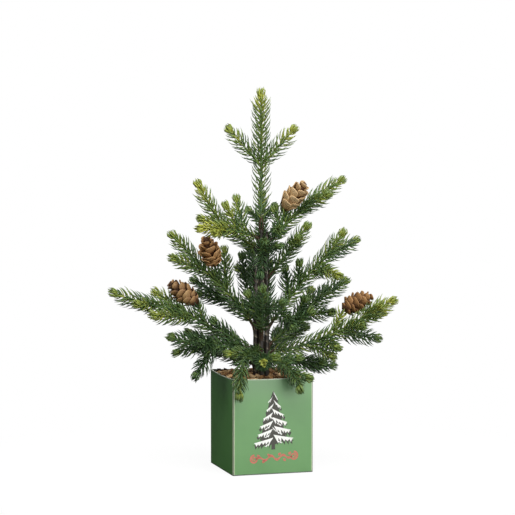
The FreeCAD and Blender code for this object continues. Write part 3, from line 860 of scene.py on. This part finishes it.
def build_branch(name, index, stem_material, needle_material, cone_materials):
    """One branch: its stem, its needles and its cone."""
    rng = np.random.RandomState(100 + index)
    branch = {**PLAIN_BRANCH, **BRANCHES[name]}
    main, twigs = wires_of(name)
    build_stem(name, main, twigs, stem_material)
    light, fullness = branch["light"], branch["fullness"]
    length = NEEDLE_LENGTH * branch["bushy"]
    pile = Pile()
    add_sprig(pile, main, BARE_ROOT, WIRE_R, light, rng, length, fullness, branch["crowding"], branch["star"])
    for number, twig in enumerate(twigs):
        twig_light = light + rng.normal(0, 0.05) - (DULLNESS if number in branch["dull"] else 0.0)
        add_sprig(pile, twig, BARE_TWIG, TWIG_R, twig_light, rng, length, fullness)
    if "cone" in branch:
        whole_stalk, base, direction = cone_place(name, main)
        stalk = straight_line(whole_stalk.at(0.0), whole_stalk.direction(5.0), whole_stalk.length - 6.0)
        stalk_light = branch.get("stalk_light", light - 0.05)
        add_sprig(pile, stalk, BARE_TWIG, TWIG_R, stalk_light, rng, length, tipped=False)
    needles = pile.make(name + "_needles", needle_material)
    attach(needles, name)
    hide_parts(name + "_foliage")
    if "cone" in branch:
        pile = Pile()
        openness, tone, reddish = CONE_LOOKS[name]
        add_cone(pile, base, direction, openness, tone, rng)
        cone = pile.make(name + "_pine_cone", cone_materials[reddish])
        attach(cone, name)
        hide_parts(name + "_cone")


def stem_middle(azimuth):
    """Where a trunk stem stands in the bundle."""
    return np.zeros(3) if azimuth is None else heading(azimuth, 0) * STEM_RING_R


def build_trunk(material):
    """The bundle of taped stems, with the tape's overlapping turns as real ridges."""
    rng = np.random.RandomState(7)
    for name, azimuth, radius, top in TRUNK_STEMS:
        foot = stem_middle(azimuth)
        heights = np.arange(TRUNK_FOOT_Z, top - 0.4, STEM_STEP)
        bend = 0.0 if azimuth is None else STEM_BEND
        sway = bend * np.sin(heights / 17.0 + rng.uniform(0, 6))
        drift = bend * np.cos(heights / 23.0 + rng.uniform(0, 6))
        line = Line(np.stack([foot[0] + sway, foot[1] + drift, heights], axis=1))
        distances = np.arange(0, line.length, STEM_STEP)
        taper = np.clip((line.length - distances) / 7.0, 0.3, 1.0) ** 0.5
        phase = rng.uniform(0, ANY_TURN)
        angles, rows = around(STEM_SIDES), distances[:, None]
        share = (rows / TAPE_LAP + (angles + phase) / (2 * math.pi)) % 1.0
        lapped = (radius * taper)[:, None] * (1.01 - 0.035 * share + 0.012 * np.sin(3 * angles + rows / 4))
        pile = Pile()
        add_tube(pile, line, distances, lapped, STEM_SIDES, np.clip(1.0 - share * 1.6, 0, 1))
        stem = pile.make(name + "_taped", material)
        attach(stem, "box")
        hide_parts(name)


def build_trunk_needles(material):
    """The needles on the trunk's upper stems, on the sides that face out of the bundle."""
    rng = np.random.RandomState(23)
    pile = Pile()
    for name, azimuth, radius, top in TRUNK_STEMS:
        low = CORE_NEEDLE_FOOT if azimuth is None else TRUNK_NEEDLE_FOOT
        if top - low < NEEDLE_LENGTH:
            continue
        count = int((top - low) * TRUNK_NEEDLES_PER_MM)
        heights = low + (np.arange(count) + 0.5) / TRUNK_NEEDLES_PER_MM
        spread = 180 if azimuth is None else 75
        turns = np.radians((azimuth or 0) + spread * (2 * ((np.arange(count) * GOLDEN_SHARE) % 1.0) - 1))
        outward = np.column_stack([np.cos(turns), np.sin(turns), np.zeros(count)])
        tangents = np.tile(UP, (count, 1))
        feet = stem_middle(azimuth) + outward * radius * 0.85
        feet[:, 2] = heights
        add_needles(pile, feet, tangents, outward, np.radians(rng.normal(56, 4, count)),
                    np.radians(rng.normal(40, 4, count)), NEEDLE_LENGTH * rng.normal(0.95, 0.06, count),
                    TRUNK_NEEDLE_SHADE + rng.normal(0, 0.07, count), rng.normal(0, 0.1, count))
    needles = pile.make("trunk_needles", material)
    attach(needles, "box")


def add_chip(pile, centre, size, turn, tilt, tilt_way, tone, rng):
    """One irregular flake of bark."""
    corners = rng.randint(5, 8)
    scattered = np.sort(rng.uniform(0, 2 * math.pi, corners))
    angles = scattered * 0.35 + around(corners) * 0.65
    reach = rng.uniform(0.72, 1.0, corners)
    length, width, thickness = size
    outline = np.column_stack([np.cos(angles) * length, np.sin(angles) * width]) * reach[:, None] / 2
    layers = []
    for height, shrink in ((-0.5, 0.86), (-0.15, 1.0), (0.25, 0.97), (0.5, 0.78)):
        wobble = rng.normal(0, 0.12 * thickness, corners)
        layers.append(np.column_stack([outline * shrink, height * thickness + wobble]))
    points = np.concatenate(layers)
    turned = Matrix.Rotation(tilt, 3, (math.cos(tilt_way), math.sin(tilt_way), 0.0))
    points = points @ np.array(turned @ Matrix.Rotation(turn, 3, "Z")).T
    pile.add(points + centre, ring_faces(4, corners), tone)


def bank_at(x, y):
    """How much higher the mulch is towards the back left corner."""
    return MULCH_BANK * np.maximum(0.0, (y - x) / (2 * MULCH_HALF))


def build_mulch(chip_material, soil_material):
    """The bed of bark: a lumpy dark base and several layers of loose flakes."""
    rng = np.random.RandomState(11)
    half = MULCH_HALF
    ticks = np.linspace(-half, half, SOIL_CELLS)
    grid_x, grid_y = np.meshgrid(ticks, ticks)
    lumps = np.zeros_like(grid_x)
    for _ in range(SOIL_LUMPS):
        centre_x, centre_y, spread = rng.uniform(-half, half), rng.uniform(-half, half), rng.uniform(4, 10)
        away = (grid_x - centre_x) ** 2 + (grid_y - centre_y) ** 2
        lumps += rng.uniform(-0.8, 1.0) * np.exp(-away / spread ** 2)
    top = MULCH_TOP - 0.5 + lumps + bank_at(grid_x, grid_y)
    foot = np.full_like(top, SOIL_FOOT)
    pile = Pile()
    add_slab(pile, np.dstack([grid_x, grid_y, foot]), np.dstack([grid_x, grid_y, top]), np.zeros(top.size))
    soil = pile.make("mulch_fines", soil_material)
    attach(soil, "box")
    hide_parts("mulch_bed")

    pile = Pile()
    for layer, (count, height, tilt_spread) in enumerate(CHIP_LAYERS):
        side = int(math.sqrt(count)) + 1
        inner = half - 3
        pitch = 2 * inner / side
        for cell in range(side * side):
            spot = [-inner + (place + 0.5) * pitch + rng.normal(0, pitch * 0.3)
                    for place in (cell % side, cell // side)]
            x, y = np.clip(spot, CHIP_MARGIN - half, half - CHIP_MARGIN)
            length, width = rng.uniform(6, 11), rng.uniform(4, 7)
            centre = np.array([x, y, height + bank_at(x, y) + rng.normal(0, 0.6)])
            size = (length, width, rng.uniform(2.0, 3.8))
            turn = rng.uniform(0, ANY_TURN)
            tilt, tilt_way = abs(rng.normal(0, tilt_spread)), rng.uniform(0, ANY_TURN)
            tone = np.clip(rng.normal(0.42 + 0.10 * layer, 0.30), 0, 1)
            add_chip(pile, centre, size, turn, tilt, tilt_way, tone, rng)
    chips = pile.make("mulch_chips", chip_material, smooth=False)
    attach(chips, "box")


def rim_outline():
    """Points round the rim's middle line, following the rounded corners and the dip of each side."""
    flat = BOX_SIDE / 2 - BOX_CORNER_R
    corner_r = BOX_CORNER_R - TIN
    points = []
    for quarter in range(4):
        local = [(BOX_SIDE / 2 - TIN, y) for y in np.linspace(-flat, flat, 25)[:-1]]
        local += [(flat + corner_r * math.cos(a), flat + corner_r * math.sin(a))
                  for a in np.linspace(0, math.pi / 2, 8)[:-1]]
        for x, y in local:
            along = abs(y) / (BOX_SIDE / 2) if abs(y) <= flat else 1.0
            z = BOX_HEIGHT - RIM_DIP * (1 - along ** 2) - HEM_DROP
            turned = complex(x, y) * 1j ** quarter
            points.append((turned.real, turned.imag, z))
    return np.array(points)


def build_rim(material):
    """The rolled hem along the top edge of the tin."""
    path = rim_outline()
    ahead = unit(np.roll(path, -1, axis=0) - np.roll(path, 1, axis=0))
    across = unit(np.cross(ahead, UP))
    up = np.cross(across, ahead)
    rings = path[:, None] + HEM_R * spokes(across[:, None], up[:, None], around(HEM_SIDES))
    faces = ring_faces(len(path) + 1, HEM_SIDES, caps=False)
    faces = [tuple(v % (len(path) * HEM_SIDES) for v in face) for face in faces]
    pile = Pile()
    pile.add(rings, faces, 0.0)
    rim = pile.make("box_rim_hem", material)
    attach(rim, "box")


def add_plate(pile, outline, lift):
    """A flat printed shape on the front face, as (x, z) points, raised by lift."""
    outline = np.array(outline)
    front = np.column_stack([outline[:, 0], np.full(len(outline), -BOX_SIDE / 2 - lift), outline[:, 1]])
    rear = front.copy()
    rear[:, 1] = -BOX_SIDE / 2 + 0.05
    count = len(outline)
    faces = [tuple(range(count)), tuple(reversed(range(count, 2 * count)))]
    faces += [(side, count + side, count + (side + 1) % count, (side + 1) % count) for side in range(count)]
    pile.add(np.concatenate([front, rear]), faces, 0.0)


def bough(root, tip, sag, depth, teeth, rng):
    """A drooping bough's outline: a smooth upper edge and a ragged lower one."""
    root, tip = np.array(root, float), np.array(tip, float)
    middle = (root + tip) / 2 + np.array([0.0, -sag])

    def on_edge(t):
        """The point at this share of the smooth upper edge."""
        return (1 - t) ** 2 * root + 2 * t * (1 - t) * middle + t ** 2 * tip

    lower = []
    for tooth in range(2 * teeth, 0, -1):
        t = tooth / (2 * teeth + 1) + rng.uniform(-0.4, 0.4) / (2 * teeth + 1)
        drop = depth * (1 - 0.5 * t) * (rng.uniform(0.8, 1.35) if tooth % 2 else rng.uniform(0.25, 0.6))
        lower.append(on_edge(t) + np.array([0.36 * drop * np.sign(tip[0] - root[0]), -drop]))
    return [on_edge(t) for t in np.linspace(0, 1, 9)] + lower


def build_tree_print(dark_material, snow_material):
    """A snowy fir of generic design: dark boughs in tiers, with patches of snow lying on them."""
    rng = np.random.RandomState(4)
    dark, snow = Pile(), Pile()
    right = [(4.5, 90), (10.0, 68), (17.0, 42), (2.4, PRINT_SKIRT)]
    left = [(-x, z) for x, z in reversed(right)]
    add_plate(dark, [(0, PRINT_TOP), *right, *left], PRINT_LIFT - 10 * LIFT_STEP)
    trunk = [(2.2, PRINT_SKIRT + 2), (2.4, PRINT_FOOT), (-2.4, PRINT_FOOT), (-2.2, PRINT_SKIRT + 2)]
    add_plate(dark, trunk, PRINT_LIFT - 5 * LIFT_STEP)
    drop = (PRINT_TOP - PRINT_SKIRT - 3.5) / PRINT_TIERS
    lift = PRINT_LIFT
    for tier in range(PRINT_TIERS):
        for side in (-1, 1):
            share = (tier + (0.7 if side < 0 else 1.0)) / PRINT_TIERS
            reach = PRINT_HALF_WIDTH * share ** 0.85 * rng.uniform(0.92, 1.0)
            root_z = PRINT_TOP - 1.5 - drop * (tier + (0.35 if side < 0 else 0.0)) + rng.uniform(-0.6, 0.6)
            tip_z = root_z - 10.0 + 4.5 * share + rng.uniform(-0.8, 0.8)
            start = side * rng.uniform(-2.0, 1.0)
            teeth = 3 + tier // 2
            fringe = bough((0.0, root_z - 2.0), (side * (reach + 1.0), tip_z - 2.8), 0.8, 8.5, teeth, rng)
            add_plate(dark, fringe, lift)
            patch = bough((start, root_z), (side * reach, tip_z), 0.3, 6.4 + 1.8 * share, teeth, rng)
            add_plate(snow, patch, lift + LIFT_STEP)
            lift += 2 * LIFT_STEP
            if tier > 2:
                inner = side * rng.uniform(2.5, 5.0)
                patch = bough((inner, root_z - 6.5), (inner + side * 7.5, root_z - 10.5), 0.2, 2.6, 2, rng)
                add_plate(snow, patch, lift)
                lift += 2 * LIFT_STEP
    add_plate(snow, bough((-0.9, PRINT_TOP), (5.6, PRINT_TOP - 11.5), 0.2, 4.6, 3, rng), lift)
    loose = (((-0.9, 94.5), (-6.8, 88.0)), ((-5.0, 72.0), (1.5, 66.5)), ((-1.5, 58.0), (5.0, 52.0)))
    for start, end in loose:
        lift += 2 * LIFT_STEP
        add_plate(snow, bough(start, end, 0.3, 3.6, 3, rng), lift)
    for name, pile, material in (("print_fir", dark, dark_material), ("print_snow", snow, snow_material)):
        piece = pile.make(name, material, smooth=False)
        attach(piece, "box")


def add_stroke(pile, x, z, widths):
    """A brush stroke of changing width, as a row of small plates. It climbs a little to the right."""
    path = np.column_stack([x + 1.0, z + x * SCROLL_CLIMB])
    ahead = unit(np.gradient(path, axis=0))
    side = np.column_stack([-ahead[:, 1], ahead[:, 0]]) * widths[:, None] / 2
    left, right = path + side, path - side
    for here in range(len(path) - 1):
        add_plate(pile, [left[here], left[here + 1], right[here + 1], right[here]], SCROLL_LIFT)


def build_flourish(material):
    """A red scroll without letters, under the fir."""
    pile = Pile()
    t = np.linspace(0, 1, 90)
    wave_x = -23 + 46 * t
    wave_z = SCROLL_Z + 2.6 * np.sin(t * 6 * math.pi) * (0.5 + 0.5 * np.sin(math.pi * t))
    add_stroke(pile, wave_x, wave_z, 1.1 + 1.9 * np.abs(np.sin(t * 6 * math.pi)))
    for side in (-1, 1):
        angle = np.linspace(0, 3.3 * math.pi, 60)
        radius = 5.2 * (1 - angle / (3.9 * math.pi))
        curl_x = side * (25.0 + radius * np.sin(angle))
        curl_z = SCROLL_Z - 0.1 + radius * np.cos(angle)
        add_stroke(pile, curl_x, curl_z, np.linspace(2.4, 1.1, 60))
        for leaf in range(3):
            base_x, lean = side * (5.5 + 6.5 * leaf), 0.5 * side
            span = np.linspace(0, 1, 12)
            leaf_x = base_x + lean * 3.6 * span + side * 1.2 * span ** 2
            leaf_z = SCROLL_Z + (2.0 + 3.2 * span) * (1 if leaf % 2 == 0 else -1)
            add_stroke(pile, leaf_x, leaf_z, 0.4 + 2.8 * np.sin(math.pi * span))
    piece = pile.make("print_flourish", material, smooth=False)
    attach(piece, "box")


def dress_cad_nodes():
    """Materials for the CAD pieces that stay in view or could be seen from below."""
    finishes = {
        "box_wall": tin_paint(),
        "box_base": speckled_paint("base_tin", (0.10, 0.10, 0.09), (0.20, 0.20, 0.18), 160.0, 0.45),
        "ballast": speckled_paint("plaster", (0.55, 0.53, 0.48), (0.74, 0.72, 0.67), 240.0, 0.9, 0.0004),
        "foam_block": speckled_paint("flower_foam", (0.03, 0.12, 0.05), (0.06, 0.18, 0.07),
                                     900.0, 0.95, 0.0006),
    }
    for name, finish in finishes.items():
        mesh = frame["nodes"][name].data
        mesh.materials.clear()
        mesh.materials.append(finish)


# ---- studio


def build_floor():
    """A wide pale floor that turns pure white away from the box."""
    mesh = bpy.data.meshes.new("floor")
    far = FLOOR_REACH
    mesh.from_pydata([(-far, -far, 0), (far, -far, 0), (far, far, 0), (-far, far, 0)], [], [(0, 1, 2, 3)])
    floor = add_object("floor", mesh)
    floor.location.z = -FLOOR_DROP
    paint = Paint("floor", 0.9, 0.1)
    x, y, _ = paint.axes()
    squares = paint.maths("ADD", paint.maths("MULTIPLY", x, x), paint.maths("MULTIPLY", y, y))
    fading = paint.rise(paint.maths("SQRT", squares), *FLOOR_FADE, FLOOR_WHITE_AT_BOX, 1.0)
    seen = paint.camera_ray()
    white = paint.node("Emission", Strength=1.0).outputs[0]
    paint.finish(paint.mix(seen, FLOOR_BOUNCE, FLOOR_PALE))
    surface = paint.either(paint.maths("MULTIPLY", fading, seen), paint.shader.outputs[0], white)
    output = next(n for n in paint.tree.nodes if n.type == "OUTPUT_MATERIAL")
    paint.feed(output.inputs["Surface"], surface)
    mesh.materials.append(paint.material)


def look_along(made, direction):
    """Turns a lamp or the camera to look in this direction."""
    made.rotation_mode = "QUATERNION"
    made.rotation_quaternion = Vector(direction).to_track_quat("-Z", "Y")


def build_studio():
    """Surroundings that look white but light little, and the softboxes, all aimed at the tree."""
    scene = bpy.context.scene
    scene.view_settings.view_transform = "Standard"
    scene.world = bpy.data.worlds.new("studio")
    scene.world.use_nodes = True
    nodes = Nodes(scene.world.node_tree)
    nodes.tree.nodes.clear()
    lit, seen = [nodes.node("Background", Color=WHITE, Strength=strength).outputs[0]
                 for strength in (WORLD_LIGHT, 1.0)]
    output = nodes.node("OutputWorld")
    nodes.feed(output.inputs[0], nodes.either(nodes.camera_ray(), lit, seen))
    for name, (azimuth, elevation, distance, size, power) in SOFTBOXES.items():
        lamp = bpy.data.lights.new(name, "AREA")
        lamp.shape = "SQUARE"
        lamp.size = size
        lamp.energy = power
        softbox = add_object(name, lamp)
        away = heading(azimuth, elevation)
        softbox.location = away * distance + SOFTBOX_AIM
        look_along(softbox, -away)


def build_camera():
    """The camera at the photograph's angle."""
    back = heading(CAMERA_AZIMUTH - 90, CAMERA_ELEVATION)
    right = heading(CAMERA_AZIMUTH, 0)
    up = np.cross(back, right)
    data = bpy.data.cameras.new("camera")
    data.lens = CAMERA_LENS
    data.sensor_width = CAMERA_SENSOR
    data.clip_end = CAMERA_CLIP
    camera = add_object("camera", data)
    camera.location = (right * AIM_RIGHT + up * AIM_UP + back * CAMERA_DISTANCE) * MM
    look_along(camera, -back)
    bpy.context.scene.camera = camera


stem_material = stem_paint()
needle_material = needle_paint()
cone_materials = {False: cone_paint("cone_scales", 0.0), True: cone_paint("cone_scales_red", 0.5)}
for branch_index, branch_name in enumerate(BRANCHES):
    build_branch(branch_name, branch_index, stem_material, needle_material, cone_materials)
build_trunk(tape_paint())
build_trunk_needles(needle_material)
build_mulch(bark_paint(), soil_paint())
# the hem is painted pale green-grey: a painted highlight along the rim
build_rim(speckled_paint("rim_hem", (0.42, 0.52, 0.36), (0.62, 0.68, 0.54), 260.0, 0.35))
build_tree_print(
    speckled_paint("print_dark", (0.060, 0.060, 0.050), (0.085, 0.083, 0.070), 500.0, 0.5),
    speckled_paint("print_white", (0.82, 0.82, 0.78), (0.92, 0.92, 0.89), 400.0, 0.5),
)
build_flourish(speckled_paint("print_red", (0.50, 0.13, 0.095), (0.58, 0.20, 0.145), 450.0, 0.5))
dress_cad_nodes()
build_floor()
build_studio()
build_camera()
